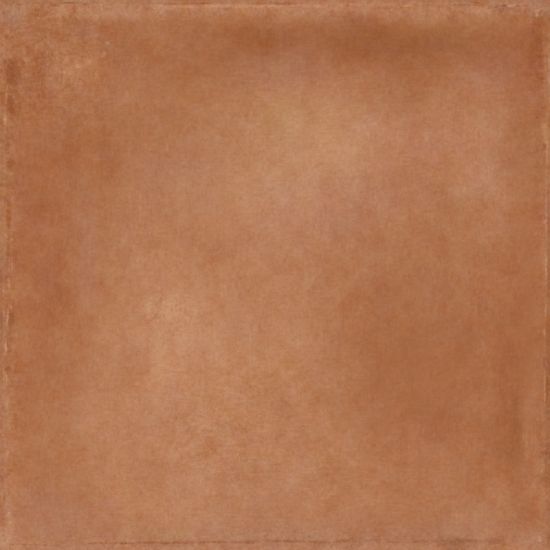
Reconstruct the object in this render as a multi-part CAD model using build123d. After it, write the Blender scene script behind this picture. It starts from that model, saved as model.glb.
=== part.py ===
"""Square terracotta floor tile, pressed and fired as one piece of clay.

It lies face up. The origin is the middle of the bearing plane of its back, and +Z is the way the face looks.
"""

import os
from math import radians, tan

from build123d import *

# Driving dimensions, in millimetres and degrees

# Overall
TILE_SIDE = 300.0  # across two opposite joint bands, the widest part
TILE_THICKNESS = 10.0  # from the bearing plane of the back ribs to the face
CORNER_RADIUS = 1.0  # upright corners, seen from above

# Eased edge, the band where the face falls away to the sides
EDGE_WIDTH = 3.5  # how far in from the side the fall starts
EDGE_DROP = 1.8  # how far it has fallen at the side
EDGE_BULGE = 0.33  # how far the fall bows out from its straight chord

# Sides
JOINT_BAND = 4.0  # height of the upright band that faces the next tile across the grout
SIDE_DRAFT = 6.0  # lean of the side below that band, which lets the tile leave its die
BACK_CHAMFER = 0.8  # bevel along the foot of the side

# Keyed back, a square grid of shallow cells that the bedding mortar grips
CELLS_PER_SIDE = 10
RIB_WIDTH = 3.5  # bearing face of the ribs between the cells
BACK_MARGIN = 8.0  # plain border between the chamfer and the outer cells
CELL_DEPTH = 0.8
CELL_DRAFT = 35.0  # lean of the cell walls from upright
CELL_CLIP = 3.0  # how much of each side the clipped corners take at the mouth of a cell

# Worked out from the sizes above
HALF_SIDE = TILE_SIDE / 2
BAND_TOP = TILE_THICKNESS - EDGE_DROP
BAND_FOOT = BAND_TOP - JOINT_BAND
SIDE_LEAN = (BAND_FOOT - BACK_CHAMFER) * tan(radians(SIDE_DRAFT))
HALF_BACK = HALF_SIDE - SIDE_LEAN - BACK_CHAMFER
CELL_FIELD = 2 * (HALF_BACK - BACK_MARGIN)
CELL_SIDE = (CELL_FIELD - (CELLS_PER_SIDE - 1) * RIB_WIDTH) / CELLS_PER_SIDE
CELL_PITCH = CELL_SIDE + RIB_WIDTH


def make_section():
    """The upright section through the middle of the tile, on the XZ plane."""
    with BuildSketch(Plane.XZ) as section:
        with BuildLine():
            face = Line((0, TILE_THICKNESS), (HALF_SIDE - EDGE_WIDTH, TILE_THICKNESS))
            fall = SagittaArc(face @ 1, (HALF_SIDE, BAND_TOP), EDGE_BULGE)
            band = Line(fall @ 1, (HALF_SIDE, BAND_FOOT))
            draft = Line(band @ 1, (HALF_SIDE - SIDE_LEAN, BACK_CHAMFER))
            foot = Line(draft @ 1, (HALF_BACK, 0))
            Line(foot @ 1, (0, 0))
            mirror(about=Plane.YZ)
        make_face()
    return section.sketch


def make_body():
    """The section run both ways across the tile and kept where the two runs meet, so the corners mitre."""
    run = extrude(make_section(), HALF_SIDE, both=True)
    outline = extrude(RectangleRounded(TILE_SIDE, TILE_SIDE, CORNER_RADIUS), TILE_THICKNESS)
    return run & run.rotate(Axis.Z, 90) & outline


def make_cells():
    """The clay that the die keeps out of the back, one tapered block for each cell."""
    square = Rectangle(CELL_SIDE, CELL_SIDE)
    mouth = chamfer(square.vertices(), CELL_CLIP)
    cell = extrude(mouth, CELL_DEPTH, taper=CELL_DRAFT)
    return GridLocations(CELL_PITCH, CELL_PITCH, CELLS_PER_SIDE, CELLS_PER_SIDE) * cell


square_tile = make_body() - make_cells()

os.makedirs("parts", exist_ok=True)
export_step(square_tile, "parts/square_tile.step")
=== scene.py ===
"""Looks of one square terracotta floor tile, a fired clay slab that lies face up on a pale floor."""

from math import asin, atan2, copysign, cos, hypot, pi, radians, sin, tan

import bmesh
import bpy
from mathutils import Matrix, Vector, noise


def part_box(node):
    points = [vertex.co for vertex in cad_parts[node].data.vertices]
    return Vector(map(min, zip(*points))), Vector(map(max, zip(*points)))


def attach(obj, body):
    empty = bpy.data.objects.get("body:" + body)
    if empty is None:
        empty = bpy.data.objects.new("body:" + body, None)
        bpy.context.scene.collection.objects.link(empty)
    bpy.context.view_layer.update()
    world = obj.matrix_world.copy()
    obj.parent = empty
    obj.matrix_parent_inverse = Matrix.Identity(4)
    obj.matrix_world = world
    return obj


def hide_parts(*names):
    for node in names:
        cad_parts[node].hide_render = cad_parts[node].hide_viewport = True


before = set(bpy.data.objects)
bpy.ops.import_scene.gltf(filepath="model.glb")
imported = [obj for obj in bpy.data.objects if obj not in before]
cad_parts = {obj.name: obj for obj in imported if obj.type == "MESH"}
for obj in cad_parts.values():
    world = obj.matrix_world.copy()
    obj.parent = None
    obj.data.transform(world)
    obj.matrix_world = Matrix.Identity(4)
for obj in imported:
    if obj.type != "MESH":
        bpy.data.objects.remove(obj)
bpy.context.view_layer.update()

# Sizes of the tile as the frame has them, in millimetres and degrees
MM = 0.001
low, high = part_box("square_tile")
HALF_SIDE = (high.x - low.x) / 2 / MM
FACE_TOP = high.z / MM
CORNER_RADIUS = 1.0
EDGE_WIDTH = 3.5
EDGE_DROP = 1.8
EDGE_BULGE = 0.33
JOINT_BAND = 4.0
SIDE_DRAFT = 6.0
BACK_CHAMFER = 0.8
CELLS_PER_SIDE = 10
RIB_WIDTH = 3.5
BACK_MARGIN = 8.0
CELL_DEPTH = 0.8
CELL_DRAFT = 35.0
CELL_CLIP = 3.0

HALF_FACE = HALF_SIDE - EDGE_WIDTH
BAND_TOP = FACE_TOP - EDGE_DROP
BAND_FOOT = BAND_TOP - JOINT_BAND
SIDE_LEAN = (BAND_FOOT - BACK_CHAMFER) * tan(radians(SIDE_DRAFT))
HALF_BACK = HALF_SIDE - SIDE_LEAN - BACK_CHAMFER
CELL_FIELD = 2 * (HALF_BACK - BACK_MARGIN)
CELL_SIDE = (CELL_FIELD - (CELLS_PER_SIDE - 1) * RIB_WIDTH) / CELLS_PER_SIDE
CELL_PITCH = CELL_SIDE + RIB_WIDTH

# How finely the mesh is divided
FACE_CELLS = 264
CROWDING = 0.7  # how much closer the grid lines stand at the edge than in the middle
FALL_STEPS = 10
BAND_STEPS = 3
DRAFT_STEPS = 2
ARRIS_ROUND = 0.35  # worn rounding of the arris between the eased edge and the side
ARRIS_STEPS = 2
SHARP_ANGLE = 38.0  # edges that turn by more are drawn crisp
MERGE_GAP = 0.0001  # points that are closer become one

# Relief that pressing, firing and wear leave in the clay, in millimetres
WAVE_LENGTH, WAVE_DEPTH = 60.0, 0.14
RIPPLE_LENGTH, RIPPLE_DEPTH = 11.0, 0.05
RIM_WEAR_LENGTH, RIM_WEAR_DEPTH = 5.0, 0.35
RIM_WEAR_AT = 0.7 * EDGE_WIDTH  # how far in from the side it is deepest
CREASE_WIDTH, CREASE_DEPTH = 0.9, 0.14  # worn groove where the eased edge starts
CREASE_WANDER_LENGTH, CREASE_WANDER = 14.0, 0.9  # over what length it wavers, and how far
SIDE_ROUGH_LENGTH, SIDE_ROUGH_DEPTH = 3.0, 0.07
RIM_WEAR_SHIFT, CREASE_SHIFT = Vector((7, 3, 1)), Vector((2, 9, 4))  # which part of the noise each reads

# The picture leaves out the outermost half millimetre of each side, and places on the face are read
# as if it showed the whole side
OVERFILL = 1.0
READ_SCALE = 2 * HALF_SIDE / (2 * HALF_SIDE - OVERFILL)

# Chips knocked out of the rim and small pits: x, y, reach, depth
CHIPS = [
    (143.4, 142.6, 2.4, 0.45),
    (141.8, 141.0, 1.6, 0.30),
    (-144.0, -17.2, 2.0, 0.35),
    (-146.5, 21.3, 1.6, 0.30),
    (-146.6, -22.3, 2.4, 0.30),
    (-147.2, -34.0, 2.0, 0.25),
    (-146.0, 132.5, 3.0, 0.30),
    (147.6, 72.5, 2.2, 0.30),
    (146.7, -31.4, 1.8, 0.30),
    (39.8, 146.9, 1.4, 0.45),
    (110.0, 148.4, 2.0, 0.30),
    (122.0, 146.9, 2.4, 0.30),
    (134.7, 146.9, 2.4, 0.30),
    (-14.5, -145.7, 3.0, 0.25),
    (24.0, -145.9, 3.0, 0.25),
    (102.0, -145.1, 4.0, 0.25),
    (118.6, -144.8, 3.0, 0.25),
]

# Soft clouds that the kiln's fire left in the face, and pale bands of painted light on two rims: x, y,
# reach along, reach across, turn, and tone.
# Tones are in hundredths of the way from burnt to pale. The lists after this one are laid out alike.
CLOUDS_AND_RIM_LIGHT = [
    # The pale cloud above the middle, with one dark place
    (18, 66, 90, 62, 10, 28),
    (40, 76, 36, 32, 0, 10),
    (6, 30, 50, 46, 0, 10),
    (-40, 42, 50, 34, 0, 8),
    (10, 92, 26, 16, 0, 5),
    (64, 32, 22, 22, 0, 6),
    (-30, 14, 24, 20, 0, -8),
    # The pale cloud left of the middle and down to the bottom, with two dark places
    (-40, -45, 110, 115, 0, 23),
    (-57, -28, 36, 52, -15, 12),
    (-58, -19, 18, 14, 0, 7),
    (-60, -55, 18, 34, 0, 7),
    (8, -32, 26, 36, 20, 7),
    (-3, -66, 20, 24, 0, -9),
    (-42, -124, 44, 38, 0, 12),
    (-86, -116, 20, 26, 0, 11),
    (-86, -143, 14, 9, 0, 8),
    (-92, -82, 34, 26, 0, 7),
    (12, -110, 34, 34, 0, 11),
    (32, -84, 24, 18, -30, 8),
    (46, -103, 20, 18, 0, 8),
    (47, -122, 18, 16, 0, 7),
    (22, -136, 34, 16, 0, 5),
    (26, -140, 66, 6, 0, 5),
    (-77, -50, 20, 22, 0, -9),
    # Smaller pale clouds, with dark places by them
    (106, 72, 52, 50, 0, 18),
    (116, 48, 24, 26, 0, 10),
    (-110, 114, 28, 24, 0, 11),
    (-105, 98, 14, 16, 0, -7),
    (-138, -34, 10, 12, 0, -5),
    (139, -44, 10, 16, 0, -5),
    (-147, -147, 20, 16, 0, 16),
    (106, -136, 24, 18, 0, 7),
    # Pale bands along the top edge and the upper right edge, painted light that lifts the lamp's shade off
    # these eased edges, and pale places below the top one
    (0, 149, 300, 13, 0, 24),
    (45, 147, 80, 9, 0, 7),
    (80, 140, 30, 8, 0, 5),
    (-1, 140, 22, 11, 0, 15),
    (66, 139, 20, 9, 0, 8),
    (90, 140, 20, 8, 0, 8),
    (111, 138, 16, 9, 0, 9),
    (-63, 127, 15, 14, 0, 12),
    (-33, 121, 17, 14, 0, 7),
    (150, 100, 6, 70, 0, 24),
    # The burnt band below the top edge, and burnt places under it
    (40, 128, 150, 30, 0, -23),
    (65, 127, 50, 22, 0, -13),
    (70, 100, 28, 20, 0, -13),
    (112, 124, 44, 24, 0, -9),
    (-12, 129, 34, 18, 0, -13),
    (142, 131, 24, 22, 0, -9),
    (-64, 90, 18, 16, 0, -7),
    (-82, 126, 46, 26, 0, -12),
    (-42, 115, 40, 26, 0, -9),
    (-45, 143, 16, 10, 0, -6),
    (-86, 110, 20, 16, 0, -7),
    (-86, 57, 12, 14, 0, -7),
    (-127, 113, 10, 20, 0, -5),
    (-112, 131, 22, 10, 0, -8),
    # Burnt clouds down the left edge, with one pale place
    (-132, 30, 56, 160, 0, -13),
    (-142, 110, 18, 32, 0, -15),
    (-128, 107, 14, 18, 0, -7),
    (-100, 71, 36, 30, 0, -13),
    (-140, 31, 14, 18, 0, 7),
    (-129, 42, 16, 30, 0, -8),
    (-121, -6, 18, 34, 0, -11),
    (-112, -28, 22, 44, 0, -9),
    (-128, -58, 34, 28, 0, -8),
    (-128, -100, 30, 56, 0, -5),
    (-129, -120, 9, 30, 0, -5),
    # Burnt clouds on the right, with two pale places
    (82, -46, 74, 72, 0, -21),
    (56, -13, 18, 18, 0, -6),
    (31, -33, 14, 10, 0, -6),
    (90, -82, 22, 18, 0, -6),
    (131, -30, 28, 95, 0, -15),
    (120, -9, 15, 22, 0, 8),
    (127, -88, 20, 34, 0, -14),
    (124, -104, 40, 40, 0, -8),
    (137, -129, 18, 18, 0, -9),
    (132.5, -112, 8, 30, 0, -6),
    (122.5, -116, 9, 28, 0, 7),
    (139, 90, 24, 62, 0, -15),
    (140, 62, 16, 22, 0, -6),
    (125, 68, 18, 18, 0, -8),
    (100, -146, 30, 14, 0, -6),
    # Lighter places among all of these
    (86, -54, 22, 18, 0, 8),
    (117, -39, 14, 20, 0, 6),
    (75, -26, 18, 16, 0, 6),
    (121, 29, 18, 17, 0, 10),
    (88, -18, 18, 16, 0, 7),
    (86, -39, 18, 11, 0, 7),
    (112, -68, 18, 10, 0, 6),
    (38, -60, 16, 14, 0, 6),
    (-70, 4, 12, 22, 0, 6),
    (-64, -131, 28, 13, 0, 8),
    (50, 2, 12, 16, 0, 6),
    (-72, 38, 20, 22, 0, 5),
]

# Stains and rubbed places on the rim and near it, with soft borders
STAINS = [
    # Left
    (-143.0, 111, 6.5, 13, 0, -24),
    (-144.2, 92, 3.4, 9, 0, -26),
    (-145.9, 70, 2.0, 5, 0, -20),
    (-144.0, 61, 4.0, 6, 0, -18),
    (-143.6, -24, 3.6, 8, 0, -20),
    (-144.6, -34, 2.6, 12, 0, -16),
    (-146.0, -70, 2.4, 7, 0, 18),
    (-145.0, -79, 2.8, 7, 0, 16),
    (-144.6, -135, 4.0, 11, 0, 18),
    (-143.4, -113, 3.8, 14, 0, 9),
    (-148.6, 102, 3.2, 13, 0, 10),
    (-149.6, 124, 2.6, 34, 0, 7),
    (-147.0, 60, 5.0, 36, 0, -7),
    (-148.8, -118, 3.0, 36, 0, -7),
    # Right
    (142.6, 121, 6.0, 32, 0, -14),
    (144.4, 124, 3.4, 20, 0, -7),
    (143.6, 90, 4.6, 12, 0, -13),
    (142.5, 28, 4.0, 52, 0, -5),
    (149.6, 60, 1.6, 30, 0, 7),
    (146.8, 80, 2.4, 8, 0, 14),
    (148.6, 73, 3.2, 15, 0, 10),
    (131.2, -74, 4.6, 38, 0, -8),
    (138.0, -84, 4.2, 28, 0, 10),
    (147.6, -119, 4, 10, 0, 8),
    (145, -74, 4, 56, 0, -7),
    (148.8, 148.8, 4, 4, 0, -9),
    (145.4, -105, 2.8, 7, 0, 8),
    (143.5, -145, 8, 6, 0, 10),
    # Top, and the cloud below its left end
    (-130.5, 142.4, 9, 4, 0, -16),
    (-115.5, 143.5, 7, 6, 0, 12),
    (-91, 142.6, 25, 7, 0, 14),
    (111.5, 144.3, 11, 3.4, 0, 26),
    (-42, 149.3, 14, 3.6, 0, -9),
    (138, 148.6, 9, 3.2, 0, -9),
    (134, 143.2, 5, 3, 0, -10),
    (-103, 116, 18, 4.6, 30, 9),
    # Bottom
    (-116, -147.3, 6, 3.6, 0, -13),
    (55.4, -144.8, 3.4, 3.0, 0, -12),
    (99, -145.2, 16, 3.4, 0, -16),
    (103, -145.1, 10, 2.2, 0, -14),
    (118.6, -144.8, 6.5, 2.8, 0, -22),
    (100, -149, 10, 3, 0, -14),
    (25, -148.4, 10, 3, 0, -7),
    (-22, -148.6, 15, 3.6, 0, -10),
    (-90, -147, 13, 5, 0, 11),
]

# Lines, dashes and flecks of wear and dirt, with crisper borders; the dark ones along the crease are partly
# painted shade
MARKS = [
    # Left rim: rubbed lines, palest where they are bare, with burnt dashes among them
    (-146.2, 133, 2.6, 3.4, 0, 22),
    (-147.8, 127, 0.9, 4.5, 0, 10),
    (-145.9, 102.3, 1.0, 1.1, 0, 28),
    (-146.4, 97, 1.0, 7, -2, 32),
    (-147.0, 83, 1.1, 9, 0, 20),
    (-144.0, 54.8, 1.6, 1.8, 0, 16),
    (-143.0, 42.5, 1.2, 1.2, 0, 16),
    (-147.6, 37, 1.5, 42, 0, 5),
    (-145.0, 32, 1.8, 12, 0, -19),
    (-145.6, 12.5, 1.2, 8, 0, -20),
    (-146.3, 21.0, 0.8, 1.9, 15, 34),
    (-143.3, 19.4, 1.6, 1.3, 40, 18),
    (-144.8, 5.5, 0.7, 7, 0, 18),
    (-143.3, 5.5, 0.7, 7, 0, 18),
    (-147.8, -6.4, 1.1, 7, 0, 13),
    (-145.0, -4.6, 0.8, 5, 6, 30),
    (-147.6, -21.6, 0.8, 6, 0, 18),
    (-149.4, -28, 1.4, 14, 0, -14),
    (-149.4, -3, 1.4, 9, 0, -10),
    (-145.7, -22.6, 0.9, 7.5, -3, 38),
    (-146.6, -25.6, 1.3, 2.4, 0, 22),
    (-144.1, -17.4, 1.1, 2.2, 35, 30),
    (-145.7, -37.6, 0.9, 2.2, 0, -26),
    (-146.7, -39, 1.2, 6, 0, 24),
    (-146.2, -40.4, 1.5, 1.6, 0, 16),
    (-147.8, -54.0, 0.8, 5.5, 0, 26),
    (-146.5, -56.2, 0.9, 4.6, 4, 34),
    (-145.8, -97, 1.6, 3.4, 0, 14),
    (-147.8, -100, 1.5, 28, 0, 3),
    (-147.6, -120.5, 0.7, 6, 0, -22),
    (-144.9, -129.8, 1.3, 1.1, 0, 18),
    (-144.4, -134.4, 1.5, 1.0, 20, 18),
    # Right rim: a chipped upper corner, a thin rubbed line, dirt outside it and flecks inside it
    (142.8, 141.6, 1.1, 1.5, -30, 46),
    (142.3, 143.4, 1.0, 1.7, 10, 34),
    (143.6, 144.4, 1.5, 0.9, 25, 34),
    (145.6, 145.0, 1.8, 0.9, 10, 30),
    (145.6, 142.0, 1.0, 1.1, 0, 24),
    (142.0, 141.1, 0.9, 0.7, -30, 28),
    (138.6, 137.8, 2.4, 0.8, 0, 18),
    (149.4, 116, 1.0, 30, 0, 18),
    (148.3, 66, 0.9, 10, -1, 28),
    (147.6, 72.3, 1.3, 1.5, 0, 34),
    (148.0, 52, 0.9, 9, 0, 14),
    (147.8, 33, 0.8, 18, 0, 22),
    (146.8, 29, 1.6, 1.4, 0, 22),
    (146.5, 8, 0.9, 34, 0, 6),
    (147.7, 2, 0.8, 17, 0, 32),
    (147.6, -19, 0.8, 6, 0, 26),
    (146.7, -31.4, 1.1, 2.8, 0, 38),
    (147.0, -62, 0.7, 14, 0, 28),
    (148.0, -64, 0.7, 16, 0, -12),
    (147.6, -106, 0.8, 32, 0, -14),
    (149.4, 10, 1.8, 26, 0, -12),
    (149.0, -50, 2.5, 44, 0, -17),
    (149.0, -100, 2.5, 32, 0, -9),
    (146.7, -48, 0.9, 4.5, 0, -26),
    (143.2, -78.6, 1.8, 0.9, 20, 20),
    (145.9, -78.8, 1.6, 0.8, -20, 22),
    (145.0, -100.5, 1.1, 0.9, 30, 16),
    (145.7, -103.6, 1.2, 0.9, -20, 16),
    (144.8, -106.8, 1.0, 1.0, 20, 16),
    (146.2, -97, 1.8, 1.2, 0, -24),
    (136.9, -91, 1.0, 11, 0, 11),
    (135.2, -88, 0.9, 8, 0, 9),
    (141.9, -88, 0.8, 9, 0, 12),
    (140.2, -88, 0.8, 8, 0, 9),
    (144.7, -143.9, 1.4, 2.2, 0, 28),
    # Top rim: a thin dark line along the crease, of dirt and painted shade, partly rubbed inside it
    (-120, 149.6, 34, 1.6, 0, 8),
    (-120, 147.8, 34, 0.8, 0, -6),
    (-139, 147.5, 4, 0.6, 0, -24),
    (-120.5, 146.8, 3.6, 0.9, 3, -30),
    (-112.5, 148.4, 6, 0.6, 0, -28),
    (-103, 147.7, 4, 0.6, 0, -28),
    (-90, 147.3, 4, 0.6, 0, -28),
    (-37.7, 148.1, 6, 0.6, 0, -28),
    (-55, 147.9, 24, 0.9, 0, -20),
    (1.5, 148.0, 20, 1.1, 0, -26),
    (-27.5, 146.4, 52, 1.2, 0, 18),
    (24, 146.4, 4, 1.2, 0, 20),
    (39.8, 146.9, 1.3, 0.9, 0, -48),
    (58, 145.5, 34, 1.1, 0, -10),
    (72, 146.7, 4, 0.7, 0, 28),
    (100, 147.2, 36, 0.7, 0, -10),
    (122, 144.6, 30, 1.8, 0, -6),
    (90, 146.2, 6, 0.6, 0, -14),
    (110, 148.4, 2.5, 0.8, 0, -28),
    (119.4, 146.0, 3.4, 0.9, 14, -28),
    (124.6, 146.8, 3.2, 0.9, -6, -30),
    (128.6, 146.8, 2.4, 1.0, 0, 28),
    (132.2, 146.4, 1.9, 0.9, 10, -26),
    (136.8, 146.8, 2.9, 0.9, -4, -28),
    (119.2, 143.7, 2.2, 0.9, 25, -16),
    (123.2, 143.3, 1.8, 0.9, -25, -16),
    # Bottom rim: dark dashes along the crease, of dirt and painted shade
    (-144.5, -148.6, 0.6, 1.6, 0, -26),
    (-143.2, -147.0, 1.6, 0.6, 0, -22),
    (-62, -145.9, 62, 0.9, 0.5, -9),
    (20, -145.4, 46, 0.9, -0.8, -9),
    (86, -145.3, 36, 0.9, 1, -8),
    (-131, -147.0, 14, 0.7, -2, -17),
    (-60, -147.7, 30, 0.8, 0, -6),
    (-98, -146.2, 5, 1.2, 0, -22),
    (-90, -146.1, 18, 0.9, 0, -9),
    (-83, -146.2, 7, 1.3, 0, -22),
    (-58, -146.3, 22, 1.2, 0, -18),
    (-67.4, -145.5, 7, 1.3, 0, -14),
    (-36.5, -145.6, 16, 1.2, 0, -14),
    (-31, -145.2, 7, 1.1, 0, -14),
    (-21.3, -145.6, 4, 1.0, 0, -18),
    (-14.5, -145.7, 6, 1.3, 0, -28),
    (4, -144.9, 7, 1.0, 0, -18),
    (14, -145.2, 14, 0.9, 0, -10),
    (24, -145.8, 8, 1.2, 0, -24),
    (35, -145.0, 7, 1.1, 9, -16),
    (44.2, -144.8, 5, 1.0, -20, -14),
    (46, -144.4, 32, 0.9, 1.2, -10),
    (-6, -144.6, 22, 0.9, -1.5, -8),
    (63.8, -145.4, 7, 1.0, 0, -18),
    (79.6, -144.8, 5, 1.3, 0, -20),
    (121.4, -147.3, 1.6, 0.9, 0, 26),
    (149.4, -142, 1.2, 9, 0, -6),
    # Flecks in the pale cloud near the top left corner
    (-136.0, 117.5, 1.8, 1.8, 0, 22),
    (-136.6, 121.4, 1.0, 1.0, 0, 18),
    (-91.2, 126.3, 2.2, 1.4, 0, 24),
    (-93.4, 120.0, 2.6, 1.4, 30, 20),
    (-114.0, 117.0, 1.6, 3.0, 0, 14),
    (-116.0, 110.6, 3.0, 1.2, 0, 18),
    (-107.6, 113.8, 2.2, 1.6, 0, 20),
    (-102.0, 115.5, 4.0, 1.8, 20, 12),
]

# Where the skin is rougher than elsewhere, in hundredths of its usual grit, and where smoother
ROUGH_PLACES = [
    (-125, 118, 60, 55, 0, 80),
    (-60, -20, 18, 14, 0, 110),
    (-25, -85, 70, 50, 0, 25),
    (-30, 35, 25, 25, 0, -25),
    (78, -48, 52, 60, 0, -22),
    (-20, -75, 80, 60, 0, 12),
    (144, -25, 17, 140, 0, -55),
]

# Where the clay fired yellower or redder: hue in tenths of a degree towards yellow
OCHRES = [
    (5, 75, 85, 52, 0, 10),
    (8, 87, 36, 18, 0, 16),
    (84, 131, 40, 12, 0, 12),
    (-60, -141, 34, 8, 0, 20),
    (-149, 30, 9, 130, 0, 11),
    (10, 150, 170, 10, 0, -15),
    (149, 70, 8, 40, 0, 12),
    (-130, 20, 28, 95, 0, -10),
    (20, 106, 48, 10, 0, -12),
    (117, 108, 26, 26, 0, -14),
    (148, 35, 12, 24, 0, -14),
    (28, 38, 56, 30, 0, -10),
    (128, -8, 44, 100, 0, -6),
    (82, 70, 54, 30, 0, -15),
    (138, 118, 22, 44, 0, -12),
    (82, -88, 36, 26, 0, -10),
    (-138, 122, 22, 28, 0, -5),
    (-10, -62, 50, 34, 0, 6),
    (-102, 10, 10, 52, 0, -10),
    (-90, -18, 10, 34, 0, 9),
]

# Where dust and wear leave the clay greyer, and where it is stronger, in per cent of its colour
HAZES = [
    (-147.4, -70, 2.1, 230, 0, -5.5),
    (149, 70, 4, 40, 0, 2.5),
    (-100, 112, 20, 16, 0, 2.5),
    (-142, 142, 12, 12, 0, -8),
    (-91, 143, 22, 7, 0, -3),
    (20, 149, 150, 5.5, 0, 2),
    (-120, -148.6, 36, 3.6, 0, -4),
    (143, 145, 9, 7, 0, -8),
    (142, -145, 11, 9, 0, -6),
    (122, 146.5, 6, 2.0, 0, -10),
    (146.8, -48, 1.6, 5, 0, -12),
    (0, -147, 190, 20, 0, -6),
    (-22, -120, 40, 20, 0, -2),
    (-122, -132, 44, 28, 0, -3.5),
    (108, -139, 36, 18, 0, -3.5),
    (-54, 50, 34, 30, 0, -3),
    (4, 112, 36, 16, 0, -4),
    (116, 111, 26, 20, 0, -3),
    (26, 38, 60, 30, 0, -3),
    (130, -12, 40, 90, 0, 1),
    (-10, -62, 50, 36, 0, 1.5),
    (-52, -138, 26, 14, 0, 2),
    (-102, 12, 8, 52, 0, -4),
    (115, 55, 9, 18, 0, -4),
]

# Colours of the fired clay from burnt to pale, evenly spaced
CLAY_COLOURS = ["#904E26", "#9C5B34", "#A86841", "#B27650", "#BC835E", "#C6906C"]
MIDDLE_TONE = 0.53
HUNDREDTH = 0.01  # the step in which tones, grit and strength of colour are stated above
HUE_STEP = 0.1  # the step, in degrees, in which hue is stated above

# Patterns of the fired skin: sizes in millimetres, strengths in tone
NOISE_MIDDLE = 0.5  # what noise varies about
GRAIN_SIZE, GRAIN_TONE = 2.0, 0.55
STROKE_WIDTH, STROKE_LENGTH, STROKE_TONE = 1.3, 8.0, 0.25  # faint strokes left by the strike-off board
STROKE_PATCH = 20.0  # how far the strokes keep one direction
STROKE_MIX, STROKE_LEAN, STROKE_BLEND = 1200.0, 10.0, 90.0  # how mixed, upright and softly blended they are
SPECK_SIZE, SPECK_TONE = 2.4, 0.14  # bare grog and small pits
SPECK_FROM, SPECK_FULL = 0.62, 0.78  # noise at which grog starts and is full, and pits as far below
BLOTCH_SIZE, BLOTCH_STRETCH, BLOTCH_TONE = 12.0, 1.2, 0.53  # faint blotches, a little taller than wide
RIM_INNER, RIM_OUTER = 14.0, 3.0  # how far from the side the rim's roughness starts and is full

# How varied the skin is, and how much more so in pale clouds and at the rim
SKIN_USUAL, SKIN_BY_CLOUD, SKIN_BY_RIM = 0.82, 0.005, 0.65

# Marks come and go: noise at which one is thinnest and thickest, and how much of it there is then
MARK_GAP = 1.8
MARK_THIN, MARK_THICK = 0.3, 0.65
MARK_LEAST, MARK_MOST = 0.3, 1.4
MARK_PALING = -0.0006  # what a hundredth of a mark's tone adds to the strength of colour

# Patches that fired a little pinker or yellower, weaker or stronger
DRIFT_SIZE = 12.0
HUE_DRIFT, STRENGTH_DRIFT = 10.5, 0.31  # how far apart they are, in degrees of hue and in share of colour
DRIFT_MOST = 1.1  # as far as a rough place drives them apart
SAME_HUE = 0.5  # stands for a hue that is left as it is
HAZE_DIMMING = 0.006  # a per cent of haze is drawn darker by this share, so that it only greys

# The sides and back, coloured from burnt to pale: sizes in millimetres, strengths in tone
BODY_COLOURS = ["#8E5030", "#A2633D", "#B1744D", "#BE8660", "#CA9974"]
BODY_TONE = 0.50
FLASH_SIZE, FLASH_TONE = 38.0, 0.85  # where the flame touched the stacked tiles
DRAG_WIDTH, DRAG_STRETCH, DRAG_TONE = 1.6, 12.0, 0.50  # upright marks left by the die
BODY_GRIT_SIZE, BODY_GRIT_TONE = 1.1, 0.55
BODY_SPECK_SIZE, BODY_SPECK_TONE = 3.2, 0.40
BODY_SPECK_FROM, BODY_SPECK_FULL = 0.64, 0.74
# The bearing ribs are drawn paler than the recessed cells: partly rubbing wear, partly painted shade in the
# cells
RIB_PALING_HEIGHT, RIB_PALING_TONE = 0.6, 0.16  # how high the bearing ribs are rubbed, and how much paler they are

# How light meets unglazed clay, and how deep its grain is in millimetres
CLAY_IOR = 1.5
FACE_SHINE, BODY_SHINE = 0.25, 0.2
FACE_ROUGHEST, FACE_SMOOTHEST, BODY_ROUGHNESS = 0.88, 0.74, 0.9
GRAIN_LOW, GRAIN_HIGH = 0.3, 0.7  # noise where the face is roughest and smoothest
FACE_BUMP, FACE_BUMP_DEPTH = 0.5, 0.3
BODY_BUMP, BODY_BUMP_DEPTH = 0.7, 0.4

# Shares of the square map that the materials are baked to
FACE_SHARE, FACE_MIDDLE = 0.72, 0.37
BACK_SHARE, BACK_ACROSS, BACK_UP = 0.24, 0.87, 0.13
STRIP_FOOT, STRIP_STEP = 0.76, 0.03  # where the strip of the first side lies, and how far apart strips are
LEVEL = 0.8  # a surface of the body whose normal is more upright than this goes with the back

# Studio: metres, watts, and millimetres for the camera's lens
FLOOR_RADIUS, FLOOR_SIDES = 8.0, 96
FLOOR_COLOUR, FLOOR_ROUGHNESS = "#E6E4E0", 0.9
SKY_LIGHT, SKY_SEEN = 0.74, 1.0  # how bright the sky is as light, and to the eye and in reflections
LAMP_PLACE, LAMP_SIDE, LAMP_POWER = Vector((-0.6, -0.9, 1.5)), 1.4, 12.0
LENS, SENSOR = 200.0, 36.0


def linear(hex_colour):
    """An sRGB hex colour as linear red, green and blue with full alpha."""
    levels = [int(hex_colour[place:place + 2], 16) / 255 for place in (1, 3, 5)]
    return [v / 12.92 if v <= 0.04045 else ((v + 0.055) / 1.055) ** 2.4 for v in levels] + [1.0]


def add(tree, kind, inputs=(), **settings):
    """Add one node to a tree, apply its settings, and set its inputs or link them to other nodes."""
    node = tree.nodes.new(kind)
    for name, value in settings.items():
        setattr(node, name, value)
    for name, value in dict(inputs).items():
        if isinstance(value, bpy.types.NodeSocket):
            tree.links.new(value, node.inputs[name])
        else:
            node.inputs[name].default_value = value
    return node


# The pressed shape, built in millimetres


def next_ring(bm, rim, half, height):
    """Draw the square rim out to a new half side and height, and return its edges there."""
    made = bmesh.ops.extrude_edge_only(bm, edges=rim)["geom"]
    verts = [part for part in made if isinstance(part, bmesh.types.BMVert)]
    grow = half / max(v.co.x for v in verts)
    bmesh.ops.scale(bm, vec=(grow, grow, 1), verts=verts)
    bmesh.ops.translate(bm, vec=(0, 0, height - verts[0].co.z), verts=verts)
    return [part for part in made if isinstance(part, bmesh.types.BMEdge) and part.is_boundary]


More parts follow.
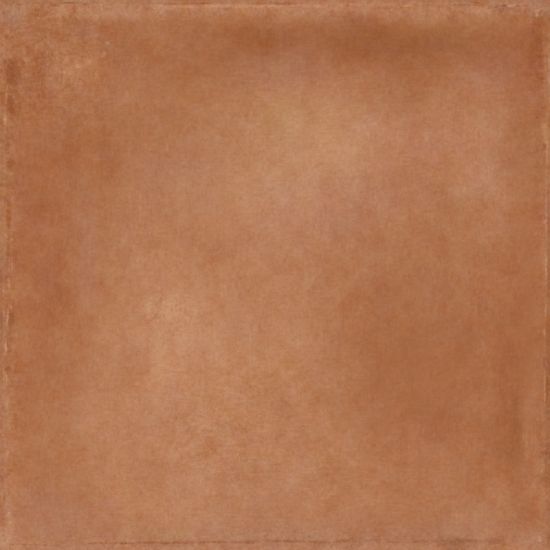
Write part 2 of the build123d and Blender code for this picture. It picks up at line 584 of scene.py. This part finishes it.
def press_face(bm):
    """The flat of the face as a grid whose lines crowd towards the edge, and its rim."""
    bmesh.ops.create_grid(bm, x_segments=FACE_CELLS, y_segments=FACE_CELLS, size=HALF_FACE)
    for v in bm.verts:
        for axis in (0, 1):
            share = v.co[axis] / HALF_FACE
            v.co[axis] = HALF_FACE * (share + CROWDING * sin(pi * share) / pi)
    bmesh.ops.translate(bm, vec=(0, 0, FACE_TOP), verts=bm.verts)
    return [e for e in bm.edges if e.is_boundary]


def press_edge_and_sides(bm, rim):
    """The eased edge, the joint band, the drafted side and its chamfered foot, ring by ring."""
    chord = hypot(EDGE_WIDTH, EDGE_DROP)
    radius = (chord ** 2 / 4 + EDGE_BULGE ** 2) / (2 * EDGE_BULGE)
    swing = asin(chord / 2 / radius)
    start = atan2(EDGE_DROP, EDGE_WIDTH) - swing
    for step in range(1, FALL_STEPS + 1):
        lean = start + 2 * swing * step / FALL_STEPS
        half = HALF_FACE + radius * (sin(lean) - sin(start))
        rim = next_ring(bm, rim, half, FACE_TOP - radius * (cos(start) - cos(lean)))
    arris = rim
    for step in range(1, BAND_STEPS + 1):
        rim = next_ring(bm, rim, HALF_SIDE, BAND_TOP - JOINT_BAND * step / BAND_STEPS)
    for step in range(1, DRAFT_STEPS + 1):
        share = step / DRAFT_STEPS
        height = BAND_FOOT - (BAND_FOOT - BACK_CHAMFER) * share
        rim = next_ring(bm, rim, HALF_SIDE - SIDE_LEAN * share, height)
    foot = next_ring(bm, rim, HALF_BACK, 0)
    bmesh.ops.bevel(bm, geom=arris, offset=ARRIS_ROUND, offset_type="OFFSET", affect="EDGES",
                    segments=ARRIS_STEPS, profile=0.5, material=-1)
    return foot


def press_back(bm, foot):
    """The bearing plane inside the foot, with its grid of shallow cells."""
    corners = []
    for column in range(CELLS_PER_SIDE):
        for row in range(CELLS_PER_SIDE):
            centre = Vector((column, row, 0)) - Vector((1, 1, 0)) * (CELLS_PER_SIDE - 1) / 2
            corners += bmesh.ops.create_grid(bm, x_segments=1, y_segments=1, size=CELL_SIDE / 2,
                                             matrix=Matrix.Translation(centre * CELL_PITCH))["verts"]
    bmesh.ops.bevel(bm, geom=corners, offset=CELL_CLIP, offset_type="ABSOLUTE", affect="VERTICES",
                    segments=1, profile=0.5, material=-1)
    floors = [face for face in bm.faces if len(face.verts) == 8]
    walls = bmesh.ops.inset_individual(bm, faces=floors, thickness=CELL_DEPTH * tan(radians(CELL_DRAFT)),
                                       use_even_offset=True)["faces"]
    floor_verts = list({v for face in floors for v in face.verts})
    bmesh.ops.translate(bm, vec=(0, 0, CELL_DEPTH), verts=floor_verts)
    mouths = [e for face in walls for e in face.edges if e.is_boundary]
    bmesh.ops.triangle_fill(bm, edges=foot + mouths, use_beauty=True)


# Relief of the real clay


def swell(place, length):
    """Smooth noise from 0 to 1 with bumps about as long as given."""
    return 0.5 + 0.5 * noise.noise(place / length)


def bump_of(gap, reach):
    """A smooth bump that is 1 in the middle and 0 from the given reach on."""
    near = max(0.0, 1 - abs(gap) / reach)
    return near * near * (3 - 2 * near)


def face_loss(spot, side_gap):
    """How deep waves, wear, the crease and chips go at a spot of the face or of its eased edge."""
    loss = WAVE_DEPTH * swell(spot, WAVE_LENGTH) + RIPPLE_DEPTH * swell(spot, RIPPLE_LENGTH)
    gnaw = max(0.0, noise.noise(spot / RIM_WEAR_LENGTH + RIM_WEAR_SHIFT))
    loss += RIM_WEAR_DEPTH * gnaw * max(0.0, 1 - abs(side_gap - RIM_WEAR_AT) / EDGE_WIDTH)
    crease = EDGE_WIDTH + CREASE_WANDER * noise.noise(spot / CREASE_WANDER_LENGTH + CREASE_SHIFT)
    loss += CREASE_DEPTH * bump_of(side_gap - crease, CREASE_WIDTH)
    if side_gap < RIM_INNER:
        for x, y, reach, depth in CHIPS:
            loss += depth * bump_of(hypot(spot.x * READ_SCALE - x, spot.y * READ_SCALE - y), reach)
    return loss


def rounded(place):
    """A point beyond one of the rounded corners, pulled in to it. Any other point stays."""
    inner = HALF_SIDE - CORNER_RADIUS
    over = Vector((max(0, abs(place.x) - inner), max(0, abs(place.y) - inner)))
    if over.x > 0 and over.y > 0 and over.length > CORNER_RADIUS:
        over *= CORNER_RADIUS / over.length
        place.x = copysign(inner + over.x, place.x)
        place.y = copysign(inner + over.y, place.y)
    return place


def weathered(co):
    """Where wear and firing leave a point of the pressed shape. It only ever loses clay."""
    place = Vector(co)
    side_gap = HALF_SIDE - max(abs(co.x), abs(co.y))
    if co.z > BAND_TOP:
        place.z -= face_loss(Vector((co.x, co.y, 0)), side_gap)
    elif co.z > BACK_CHAMFER / 2 and side_gap < SIDE_LEAN + BACK_CHAMFER:
        axis = 0 if abs(co.x) > abs(co.y) else 1
        place[axis] -= copysign(SIDE_ROUGH_DEPTH * swell(place, SIDE_ROUGH_LENGTH), place[axis])
    return rounded(place)


def map_for_baking(bm):
    """A flat map with the face large, the four sides in strips above it and the back small beside it."""
    layer = bm.loops.layers.uv.new("OFBake")
    face_scale = FACE_SHARE / (2 * HALF_SIDE)
    back_scale = BACK_SHARE / (2 * HALF_SIDE)
    for face in bm.faces:
        middle = face.calc_center_median()
        across = abs(middle.x) > abs(middle.y)
        under = abs(face.normal.z) > LEVEL or max(abs(middle.x), abs(middle.y)) < HALF_BACK
        for loop in face.loops:
            x, y, z = loop.vert.co
            if face.material_index == 0:
                loop[layer].uv = (FACE_MIDDLE + x * face_scale, FACE_MIDDLE + y * face_scale)
            elif under:
                loop[layer].uv = (BACK_ACROSS + x * back_scale, BACK_UP + y * back_scale)
            else:
                strip = (2 if across else 0) + (1 if middle[0 if across else 1] > 0 else 0)
                along = y if across else x
                loop[layer].uv = (FACE_MIDDLE + along * face_scale,
                                  STRIP_FOOT + STRIP_STEP * strip + z * face_scale)


def make_tile():
    """The whole tile as one closed mesh, face and body in their own materials."""
    bm = bmesh.new()
    rim = press_face(bm)
    foot = press_edge_and_sides(bm, rim)
    press_back(bm, foot)
    bmesh.ops.remove_doubles(bm, verts=bm.verts, dist=MERGE_GAP)
    bmesh.ops.recalc_face_normals(bm, faces=bm.faces)
    for face in bm.faces:
        face.smooth = True
        face.material_index = 0 if face.calc_center_median().z > BAND_TOP - ARRIS_ROUND else 1
    for v in bm.verts:
        v.co = weathered(v.co)
    bm.normal_update()
    map_for_baking(bm)
    bmesh.ops.scale(bm, vec=(MM, MM, MM), verts=bm.verts)
    mesh = bpy.data.meshes.new("terracotta_tile")
    bm.to_mesh(mesh)
    bm.free()
    mesh.set_sharp_from_angle(angle=radians(SHARP_ANGLE))
    tile = bpy.data.objects.new("terracotta_tile", mesh)
    bpy.context.scene.collection.objects.link(tile)
    return tile


# Materials


def new_material(name):
    """A material with only its shader, and the shader's tree."""
    material = bpy.data.materials.new(name)
    material.use_nodes = True
    return material, material.node_tree, material.node_tree.nodes["Principled BSDF"]


def spread_colours(stops, colours):
    """Set a colour ramp's stops to these colours, evenly spaced."""
    stops[0].color = linear(colours[0])
    stops[1].color = linear(colours[-1])
    for step, colour in enumerate(colours[1:-1], start=1):
        stops.new(step / (len(colours) - 1)).color = linear(colour)


def laid_over(tree, flat, patches, length, push, full):
    """The summed strength of soft patches on the face, their borders pushed about by noise of that length.

    A patch is at its full strength where its fade from rim to middle has passed the given share.
    """
    shake = add(tree, "ShaderNodeTexNoise",
                {"Vector": flat, "Scale": 1 / length, "Detail": 5, "Roughness": 0.7}).outputs["Color"]
    shake = add(tree, "ShaderNodeVectorMath", {0: shake, 1: [NOISE_MIDDLE] * 3},
                operation="SUBTRACT").outputs[0]
    pushed = add(tree, "ShaderNodeVectorMath", {0: shake, 1: (push, push, 0), 2: flat},
                 operation="MULTIPLY_ADD").outputs[0]
    total = 0.0
    for x, y, along, across, turn, amount in patches:
        fade = add(tree, "ShaderNodeTexGradient", {"Vector": pushed}, gradient_type="SPHERICAL")
        fade.texture_mapping.vector_type = "TEXTURE"
        fade.texture_mapping.translation = (x, y, 0)
        fade.texture_mapping.rotation = (0, 0, radians(turn))
        fade.texture_mapping.scale = (along, across, 1)
        # The smooth step ends by itself, and clamping it would overfill the shader
        patch = add(tree, "ShaderNodeMapRange",
                    {"Value": fade.outputs["Fac"], "From Max": full, "To Max": amount},
                    interpolation_type="SMOOTHSTEP", clamp=False).outputs[0]
        total = add(tree, "ShaderNodeMath", {0: total, 1: patch}, operation="ADD").outputs[0]
    return total


def nearness_of_sides(tree, flat):
    """How near any side a place of the face is, and how much nearer top or bottom than left or right."""
    spot = add(tree, "ShaderNodeSeparateXYZ", {"Vector": flat}).outputs
    out_x = add(tree, "ShaderNodeMath", {0: spot["X"]}, operation="ABSOLUTE").outputs[0]
    out_y = add(tree, "ShaderNodeMath", {0: spot["Y"]}, operation="ABSOLUTE").outputs[0]
    out = add(tree, "ShaderNodeMath", {0: out_x, 1: out_y}, operation="MAXIMUM").outputs[0]
    rim = add(tree, "ShaderNodeMapRange",
              {"Value": out, "From Min": HALF_SIDE - RIM_INNER, "From Max": HALF_SIDE - RIM_OUTER},
              interpolation_type="SMOOTHSTEP").outputs[0]
    endways = add(tree, "ShaderNodeMath", {0: out_y, 1: out_x}, operation="SUBTRACT").outputs[0]
    return rim, endways


def board_strokes(tree, flat, rim, endways):
    """Faint strokes, mixed in direction: more run along the nearest side, and they fade at the rim."""
    choice = add(tree, "ShaderNodeTexNoise",
                 {"Vector": flat, "Scale": 1 / STROKE_PATCH, "Detail": 3, "Roughness": 0.7}).outputs["Fac"]
    choice = add(tree, "ShaderNodeMath", {0: choice, 1: STROKE_MIX, 2: endways},
                 operation="MULTIPLY_ADD").outputs[0]
    even = STROKE_MIX * NOISE_MIDDLE + STROKE_LEAN
    choice = add(tree, "ShaderNodeMapRange",
                 {"Value": choice, "From Min": even - STROKE_BLEND,
                  "From Max": even + STROKE_BLEND}).outputs[0]
    strokes = []
    for width, height in ((STROKE_WIDTH, STROKE_LENGTH), (STROKE_LENGTH, STROKE_WIDTH)):
        drawn = add(tree, "ShaderNodeMapping",
                    {"Vector": flat, "Scale": (1 / width, 1 / height, 1)}).outputs[0]
        stroke = add(tree, "ShaderNodeTexNoise", {"Vector": drawn, "Scale": 1, "Detail": 1}).outputs["Fac"]
        strokes.append(stroke)
    stroke = add(tree, "ShaderNodeMapRange",
                 {"Value": choice, "To Min": strokes[0], "To Max": strokes[1]}).outputs[0]
    return add(tree, "ShaderNodeMapRange", {"Value": rim, "To Min": stroke, "To Max": NOISE_MIDDLE},
               clamp=False).outputs[0]


def wear_dirt_and_shade_marks(tree, flat):
    """The marks, each of which comes and goes along its length."""
    marks = laid_over(tree, flat, MARKS, length=2.2, push=1.7, full=0.7)
    patchy = add(tree, "ShaderNodeTexNoise",
                 {"Vector": flat, "Scale": 1 / MARK_GAP, "Detail": 2, "Roughness": 0.6}).outputs["Fac"]
    patchy = add(tree, "ShaderNodeMapRange",
                 {"Value": patchy, "From Min": MARK_THIN, "From Max": MARK_THICK,
                  "To Min": MARK_LEAST, "To Max": MARK_MOST}).outputs[0]
    return add(tree, "ShaderNodeMath", {0: marks, 1: patchy}, operation="MULTIPLY").outputs[0]


def variety_of_skin(tree, flat, clouds, rim):
    """How varied the skin is: less where the clay burnt dark, more where it is pale and at the rim."""
    rough = laid_over(tree, flat, ROUGH_PLACES, length=20, push=14, full=1.0)
    rough = add(tree, "ShaderNodeMath", {0: rough, 1: HUNDREDTH, 2: SKIN_USUAL},
                operation="MULTIPLY_ADD").outputs[0]
    rough = add(tree, "ShaderNodeMath", {0: clouds, 1: SKIN_BY_CLOUD, 2: rough},
                operation="MULTIPLY_ADD").outputs[0]
    return add(tree, "ShaderNodeMath", {0: rim, 1: SKIN_BY_RIM, 2: rough},
               operation="MULTIPLY_ADD").outputs[0]


def grain_and_specks(tree, flat, stroke):
    """The fine grain, and what it, the strokes, pale specks of bare grog and dark pits add to the tone."""
    grain = add(tree, "ShaderNodeTexNoise",
                {"Vector": flat, "Scale": 1 / GRAIN_SIZE, "Detail": 2, "Roughness": 0.9}).outputs["Fac"]
    speck = add(tree, "ShaderNodeTexNoise",
                {"Vector": flat, "Scale": 1 / SPECK_SIZE, "Detail": 1, "Roughness": 0.6}).outputs["Fac"]
    grog = add(tree, "ShaderNodeMapRange",
               {"Value": speck, "From Min": SPECK_FROM, "From Max": SPECK_FULL,
                "To Max": SPECK_TONE}).outputs[0]
    pit = add(tree, "ShaderNodeMapRange",
              {"Value": speck, "From Min": 1 - SPECK_FROM, "From Max": 1 - SPECK_FULL,
               "To Max": SPECK_TONE}).outputs[0]
    middle = (GRAIN_TONE + STROKE_TONE) * NOISE_MIDDLE
    lift = add(tree, "ShaderNodeMath", {0: grain, 1: GRAIN_TONE, 2: -middle},
               operation="MULTIPLY_ADD").outputs[0]
    lift = add(tree, "ShaderNodeMath", {0: stroke, 1: STROKE_TONE, 2: lift},
               operation="MULTIPLY_ADD").outputs[0]
    lift = add(tree, "ShaderNodeMath", {0: lift, 1: grog}, operation="ADD").outputs[0]
    lift = add(tree, "ShaderNodeMath", {0: lift, 1: pit}, operation="SUBTRACT").outputs[0]
    return grain, lift


def tone_of_face(tree, flat, lift, rough, layers):
    """Tone from burnt to pale: blotches and grain, as varied as the skin is, under the given layers."""
    upright = add(tree, "ShaderNodeMapping",
                  {"Vector": flat, "Scale": (1, 1 / BLOTCH_STRETCH, 1)}).outputs[0]
    blotch = add(tree, "ShaderNodeTexNoise",
                 {"Vector": upright, "Scale": 1 / BLOTCH_SIZE,
                  "Detail": 2, "Roughness": 0.85}).outputs["Fac"]
    tone = add(tree, "ShaderNodeMath", {0: blotch, 1: BLOTCH_TONE, 2: -BLOTCH_TONE * NOISE_MIDDLE},
               operation="MULTIPLY_ADD").outputs[0]
    tone = add(tree, "ShaderNodeMath", {0: tone, 1: lift}, operation="ADD").outputs[0]
    tone = add(tree, "ShaderNodeMath", {0: tone, 1: rough, 2: MIDDLE_TONE},
               operation="MULTIPLY_ADD").outputs[0]
    for layer in layers:
        tone = add(tree, "ShaderNodeMath", {0: layer, 1: HUNDREDTH, 2: tone},
                   operation="MULTIPLY_ADD").outputs[0]
    return tone


def drifted_colour(tree, flat, colour, rough, marks):
    """A colour that firing drifts between pink and ochre, and that dust and wear turn greyer."""
    drift = add(tree, "ShaderNodeTexNoise",
                {"Vector": flat, "Scale": 1 / DRIFT_SIZE, "Detail": 5, "Roughness": 0.85}).outputs["Color"]
    drift = add(tree, "ShaderNodeVectorMath", {0: drift, 1: [NOISE_MIDDLE] * 3},
                operation="SUBTRACT").outputs[0]
    calm = add(tree, "ShaderNodeMath", {0: rough, 1: DRIFT_MOST}, operation="MINIMUM").outputs[0]
    drift = add(tree, "ShaderNodeVectorMath", {0: drift, "Scale": calm}, operation="SCALE").outputs[0]
    drift = add(tree, "ShaderNodeSeparateXYZ", {"Vector": drift}).outputs

    hue = add(tree, "ShaderNodeMath", {0: drift["X"], 1: HUE_DRIFT / 360, 2: SAME_HUE},
              operation="MULTIPLY_ADD").outputs[0]
    ochre = laid_over(tree, flat, OCHRES, length=20, push=14, full=1.0)
    hue = add(tree, "ShaderNodeMath", {0: ochre, 1: HUE_STEP / 360, 2: hue},
              operation="MULTIPLY_ADD").outputs[0]

    strength = add(tree, "ShaderNodeMath", {0: drift["Y"], 1: STRENGTH_DRIFT, 2: 1.0},
                   operation="MULTIPLY_ADD").outputs[0]
    haze = laid_over(tree, flat, HAZES, length=8, push=3, full=0.8)
    strength = add(tree, "ShaderNodeMath", {0: haze, 1: HUNDREDTH, 2: strength},
                   operation="MULTIPLY_ADD").outputs[0]
    strength = add(tree, "ShaderNodeMath", {0: marks, 1: MARK_PALING, 2: strength},
                   operation="MULTIPLY_ADD").outputs[0]
    light = add(tree, "ShaderNodeMath", {0: haze, 1: HAZE_DIMMING, 2: 1.0},
                operation="MULTIPLY_ADD").outputs[0]
    return add(tree, "ShaderNodeHueSaturation",
               {"Hue": hue, "Saturation": strength, "Value": light, "Color": colour}).outputs[0]


def fired_terracotta_face():
    """Iron-rich clay, pressed, smoothed and fired without a glaze.

    The eye sees a matt orange brown that drifts from burnt to pale in soft clouds, with fine grit, a worn
    rim, painted light on the top and right rims, and dirt and painted shade along the crease.
    """
    material, tree, shader = new_material("fired_terracotta_face")
    place = add(tree, "ShaderNodeTexCoord").outputs["Object"]
    flat = add(tree, "ShaderNodeMapping",
               {"Vector": place, "Scale": (READ_SCALE / MM, READ_SCALE / MM, 0)}).outputs[0]
    rim, endways = nearness_of_sides(tree, flat)
    stroke = board_strokes(tree, flat, rim, endways)
    # The clouds include pale bands of painted light along the top and right rims.
    clouds = laid_over(tree, flat, CLOUDS_AND_RIM_LIGHT, length=30, push=22, full=1.0)
    stains = laid_over(tree, flat, STAINS, length=6, push=3.5, full=0.9)
    # The marks include dark lines along the crease that are partly painted shade.
    marks = wear_dirt_and_shade_marks(tree, flat)
    rough = variety_of_skin(tree, flat, clouds, rim)
    grain, lift = grain_and_specks(tree, flat, stroke)

    tone = tone_of_face(tree, flat, lift, rough, (clouds, stains, marks))
    ramp = add(tree, "ShaderNodeValToRGB", {"Fac": tone})
    spread_colours(ramp.color_ramp.elements, CLAY_COLOURS)
    clay = drifted_colour(tree, flat, ramp.outputs[0], rough, marks)
    tree.links.new(clay, shader.inputs["Base Color"])

    gloss = add(tree, "ShaderNodeMapRange",
                {"Value": grain, "From Min": GRAIN_LOW, "From Max": GRAIN_HIGH,
                 "To Min": FACE_ROUGHEST, "To Max": FACE_SMOOTHEST}).outputs[0]
    tree.links.new(gloss, shader.inputs["Roughness"])
    bump = add(tree, "ShaderNodeBump",
               {"Height": lift, "Strength": FACE_BUMP, "Distance": FACE_BUMP_DEPTH * MM})
    tree.links.new(bump.outputs[0], shader.inputs["Normal"])
    shader.inputs["IOR"].default_value = CLAY_IOR
    shader.inputs["Specular IOR Level"].default_value = FACE_SHINE
    return material


def pressed_terracotta_body():
    """The same clay where the die pressed its sides and back and nobody smoothed it.

    The eye sees a drier orange brown with coarse grit, upright drag marks on the sides, and ribs worn paler
    by rubbing, with painted shade in the cells between them.
    """
    material, tree, shader = new_material("pressed_terracotta_body")
    place = add(tree, "ShaderNodeTexCoord").outputs["Object"]
    sized = add(tree, "ShaderNodeMapping", {"Vector": place, "Scale": (1 / MM, 1 / MM, 1 / MM)}).outputs[0]
    flash = add(tree, "ShaderNodeTexNoise",
                {"Vector": sized, "Scale": 1 / FLASH_SIZE, "Detail": 4, "Roughness": 0.6}).outputs["Fac"]
    drawn = add(tree, "ShaderNodeMapping", {"Vector": sized, "Scale": (1, 1, 1 / DRAG_STRETCH)}).outputs[0]
    drag = add(tree, "ShaderNodeTexNoise",
               {"Vector": drawn, "Scale": 1 / DRAG_WIDTH, "Detail": 2}).outputs["Fac"]
    grit = add(tree, "ShaderNodeTexNoise",
               {"Vector": sized, "Scale": 1 / BODY_GRIT_SIZE, "Detail": 3, "Roughness": 0.8}).outputs["Fac"]
    speck = add(tree, "ShaderNodeTexNoise",
                {"Vector": sized, "Scale": 1 / BODY_SPECK_SIZE,
                 "Detail": 1, "Roughness": 0.6}).outputs["Fac"]
    grog = add(tree, "ShaderNodeMapRange",
               {"Value": speck, "From Min": BODY_SPECK_FROM, "From Max": BODY_SPECK_FULL,
                "To Max": BODY_SPECK_TONE}).outputs[0]
    pit = add(tree, "ShaderNodeMapRange",
              {"Value": speck, "From Min": 1 - BODY_SPECK_FROM, "From Max": 1 - BODY_SPECK_FULL,
               "To Max": -BODY_SPECK_TONE}).outputs[0]
    middle = BODY_TONE - (DRAG_TONE + BODY_GRIT_TONE) * NOISE_MIDDLE
    skin = add(tree, "ShaderNodeMath", {0: drag, 1: DRAG_TONE, 2: middle},
               operation="MULTIPLY_ADD").outputs[0]
    skin = add(tree, "ShaderNodeMath", {0: grit, 1: BODY_GRIT_TONE, 2: skin},
               operation="MULTIPLY_ADD").outputs[0]
    for layer in (grog, pit):
        skin = add(tree, "ShaderNodeMath", {0: skin, 1: layer}, operation="ADD").outputs[0]

    # The flame's flashing, and the ribs drawn paler than the cells by rubbing wear and painted shade in the
    # cells, change the colour alone
    height = add(tree, "ShaderNodeSeparateXYZ", {"Vector": sized}).outputs["Z"]
    ribs_paler_than_cells = add(tree, "ShaderNodeMapRange",
                 {"Value": height, "From Max": RIB_PALING_HEIGHT, "To Min": RIB_PALING_TONE, "To Max": 0.0}).outputs[0]
    flash = add(tree, "ShaderNodeMapRange",
                {"Value": flash, "To Min": -FLASH_TONE / 2, "To Max": FLASH_TONE / 2}).outputs[0]
    tone = skin
    for layer in (ribs_paler_than_cells, flash):
        tone = add(tree, "ShaderNodeMath", {0: tone, 1: layer}, operation="ADD").outputs[0]
    ramp = add(tree, "ShaderNodeValToRGB", {"Fac": tone})
    spread_colours(ramp.color_ramp.elements, BODY_COLOURS)
    tree.links.new(ramp.outputs[0], shader.inputs["Base Color"])
    bump = add(tree, "ShaderNodeBump",
               {"Height": skin, "Strength": BODY_BUMP, "Distance": BODY_BUMP_DEPTH * MM})
    tree.links.new(bump.outputs[0], shader.inputs["Normal"])
    shader.inputs["Roughness"].default_value = BODY_ROUGHNESS
    shader.inputs["IOR"].default_value = CLAY_IOR
    shader.inputs["Specular IOR Level"].default_value = BODY_SHINE
    return material


def matt_floor():
    """Matt painted floor: pale, even and without gloss."""
    material, _, shader = new_material("matt_pale_floor")
    shader.inputs["Base Color"].default_value = linear(FLOOR_COLOUR)
    shader.inputs["Roughness"].default_value = FLOOR_ROUGHNESS
    return material


tile = make_tile()
tile.data.materials.append(fired_terracotta_face())
tile.data.materials.append(pressed_terracotta_body())
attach(tile, "root")
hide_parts("square_tile")

# Studio


def make_floor():
    """A wide round floor under the tile."""
    bm = bmesh.new()
    bmesh.ops.create_circle(bm, cap_ends=True, segments=FLOOR_SIDES, radius=FLOOR_RADIUS)
    mesh = bpy.data.meshes.new("floor")
    bm.to_mesh(mesh)
    bm.free()
    mesh.materials.append(matt_floor())
    floor = bpy.data.objects.new("floor", mesh)
    bpy.context.scene.collection.objects.link(floor)


def make_light():
    """An even sky with a large soft lamp high at the front left.

    Together they are bright enough to show colours about as written.
    """
    world = bpy.data.worlds.new("soft_sky")
    bpy.context.scene.world = world
    world.use_nodes = True
    tree = world.node_tree
    path = add(tree, "ShaderNodeLightPath").outputs
    seen = path["Is Camera Ray"]
    for ray in ("Is Glossy Ray", "Is Transmission Ray"):
        seen = add(tree, "ShaderNodeMath", {0: seen, 1: path[ray]}, operation="MAXIMUM").outputs[0]
    strength = add(tree, "ShaderNodeMapRange", {"Value": seen, "To Min": SKY_LIGHT, "To Max": SKY_SEEN})
    sky = tree.nodes["Background"]
    sky.inputs["Color"].default_value = (1, 1, 1, 1)
    tree.links.new(strength.outputs[0], sky.inputs["Strength"])

    lamp = bpy.data.lights.new("soft_lamp", "AREA")
    lamp.shape = "SQUARE"
    lamp.size = LAMP_SIDE
    lamp.energy = LAMP_POWER
    holder = bpy.data.objects.new("soft_lamp", lamp)
    holder.location = LAMP_PLACE
    holder.rotation_euler = (-LAMP_PLACE).to_track_quat("-Z", "Y").to_euler()
    bpy.context.scene.collection.objects.link(holder)


def make_camera():
    """Straight above the tile, far off on a long lens, framed just inside the outline."""
    lens = bpy.data.cameras.new("camera")
    lens.lens = LENS
    lens.sensor_width = SENSOR
    camera = bpy.data.objects.new("camera", lens)
    framed = 2 * HALF_SIDE - OVERFILL
    distance = framed * MM * LENS / SENSOR
    camera.location = (0, 0, BAND_TOP * MM + distance)
    bpy.context.scene.collection.objects.link(camera)
    bpy.context.scene.camera = camera


make_floor()
make_light()
make_camera()
bpy.context.scene.view_settings.view_transform = "Standard"
